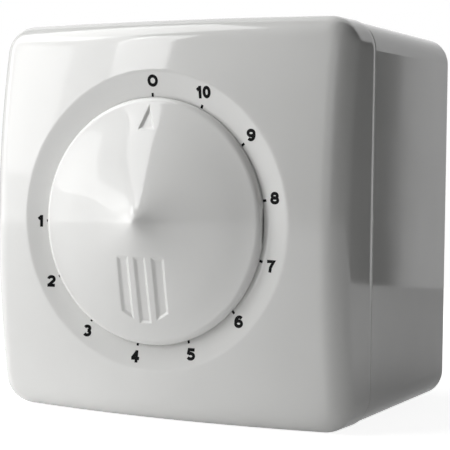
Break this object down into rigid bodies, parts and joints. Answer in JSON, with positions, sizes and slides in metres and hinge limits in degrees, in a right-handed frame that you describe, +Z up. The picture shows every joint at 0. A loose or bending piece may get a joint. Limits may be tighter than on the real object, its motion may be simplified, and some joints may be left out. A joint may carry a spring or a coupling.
{
  "type": "fan speed controller",
  "caption": "Surface-mounted rotary speed controller: square box, domed cover with a round dish, and a low cone-shaped knob with a pointer.",
  "frame": {"origin": "centre of the face that lies on the wall", "axes": "+X to the right and +Z up, seen from the front; +Y points into the wall, so the knob faces -Y"},
  "size_m": [0.082, 0.0709, 0.082],
  "materials": {
    "white_moulding": "glossy white moulded plastic",
    "grommet_rubber": "soft grey rubber",
    "chassis_aluminium": "mill-finish sheet",
    "zinc_steel": "bright zinc-plated steel",
    "nickel_brass": "nickel-plated brass",
    "bare_brass": "bare brass",
    "tinned_pins": "tinned metal",
    "copper_winding": "enamelled copper wire",
    "ferrite": "dark sintered ferrite",
    "board_laminate": "tan paper laminate",
    "dark_moulding": "black moulding compound",
    "wafer_phenolic": "brown phenolic sheet",
    "capacitor_yellow": "yellow moulded case",
    "resistor_coating": "beige coated resistor",
    "terminal_grey": "grey polyamide",
    "trimmer_blue": "blue moulded plastic",
    "fuse_glass": "clear glass tube"
  },
  "bodies": {
    "housing": {"back_box": "white_moulding", "front_cover": "white_moulding", "cable_grommet": "grommet_rubber", "pot_bushing": "nickel_brass", "pot_case": "zinc_steel", "pot_wafer": "wafer_phenolic", "pot_washer": "zinc_steel", "pot_nut": "nickel_brass", "pot_terminals": "tinned_pins", "switch_case": "dark_moulding", "chassis_plate": "chassis_aluminium", "chassis_screws": "zinc_steel", "board_spacers": "nickel_brass", "spacer_screws": "zinc_steel", "board_screws": "zinc_steel", "circuit_board": "board_laminate", "triac_body": "dark_moulding", "triac_tab": "tinned_pins", "triac_leads": "tinned_pins", "triac_screw": "zinc_steel", "choke_core": "ferrite", "choke_winding": "copper_winding", "suppression_capacitor": "capacitor_yellow", "timing_capacitor": "capacitor_yellow", "resistors": "resistor_coating", "diac": "trimmer_blue", "trimmer_body": "trimmer_blue", "fuse_clips": "bare_brass", "fuse_tube": "fuse_glass", "fuse_caps": "nickel_brass", "terminal_housing": "terminal_grey", "terminal_clamps": "bare_brass", "terminal_screws": "zinc_steel"},
    "control_knob": {"knob": "white_moulding", "knob_clip": "zinc_steel", "pot_shaft": "nickel_brass", "pot_rotor": "dark_moulding", "pot_wiper": "bare_brass"},
    "speed_trimmer": {"trimmer_rotor": "white_moulding"}
  },
  "joints": [
    {"name": "knob_turn", "type": "hinge", "parent": "housing", "child": "control_knob", "pos_m": [0, -0.0632, 0], "axis": [0, 1, 0], "range_deg": [0, 270]},
    {"name": "trimmer_turn", "type": "hinge", "parent": "housing", "child": "speed_trimmer", "pos_m": [0.0145, -0.029, 0.011], "axis": [0, 1, 0], "range_deg": [-115, 115]}
  ]
}
